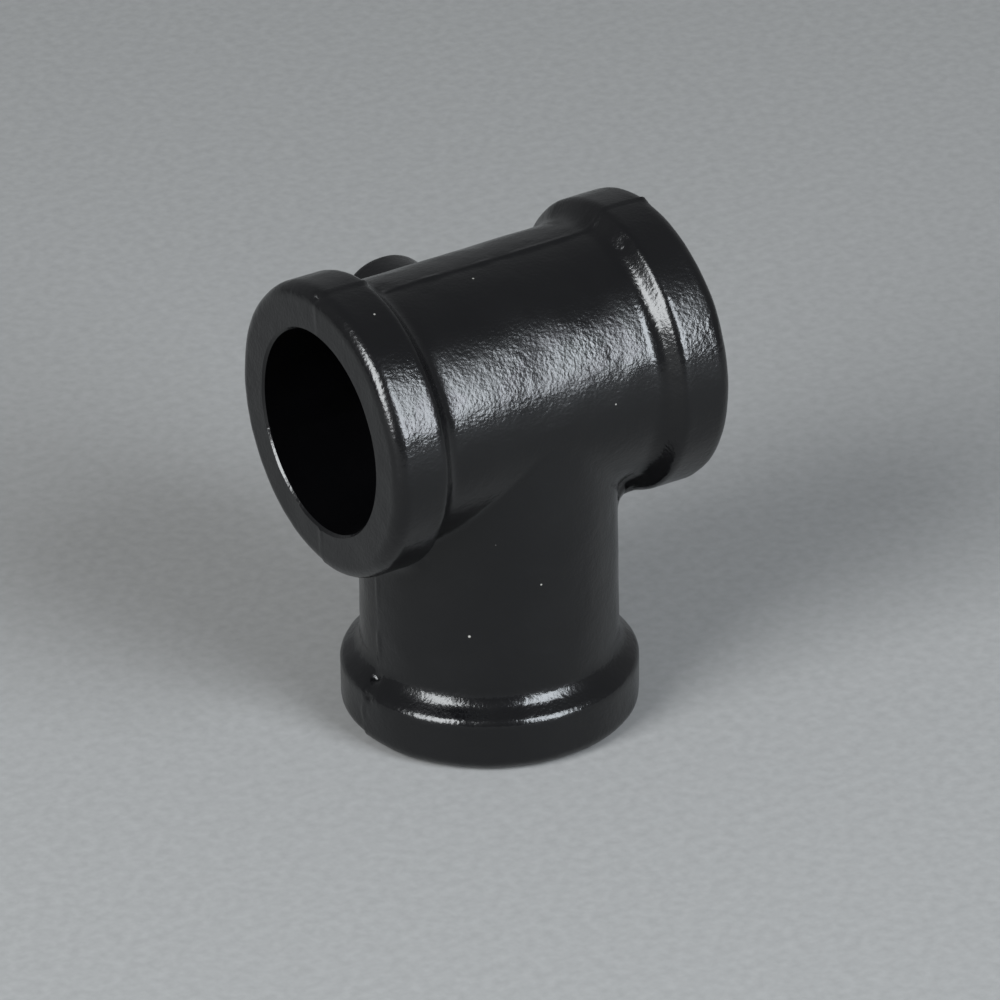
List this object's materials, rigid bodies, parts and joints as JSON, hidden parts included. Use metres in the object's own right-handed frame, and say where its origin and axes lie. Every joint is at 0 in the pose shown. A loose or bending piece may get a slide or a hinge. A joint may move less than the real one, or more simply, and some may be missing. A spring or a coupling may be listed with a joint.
{
  "type": "tube clamp tee fitting",
  "caption": "Cast iron tee that joins the end of one round tube to the side of another, with collared plain sockets and grub screws that clamp each tube.",
  "frame": {"origin": "where the axis of the through socket crosses the axis of the end socket", "axes": "+X along the through socket, +Y towards the screw bosses, -Z along the end socket to its mouth, on which the fitting stands"},
  "size_m": [0.065, 0.058, 0.0852],
  "materials": {
    "coated_iron": "satin black coat over a cast skin",
    "screw_steel": "blackened and oiled"
  },
  "bodies": {
    "casting": {"tee_casting": "coated_iron"},
    "run_screw": {"run_grub_screw": "screw_steel"},
    "stem_screw": {"stem_grub_screw": "screw_steel"}
  },
  "joints": [
    {"name": "run_screw_travel", "type": "slide", "parent": "casting", "child": "run_screw", "axis": [0, 1, 0], "range_m": [-0.002, 0.003]},
    {"name": "stem_screw_travel", "type": "slide", "parent": "casting", "child": "stem_screw", "axis": [0, 1, 0], "range_m": [-0.002, 0.003]}
  ]
}
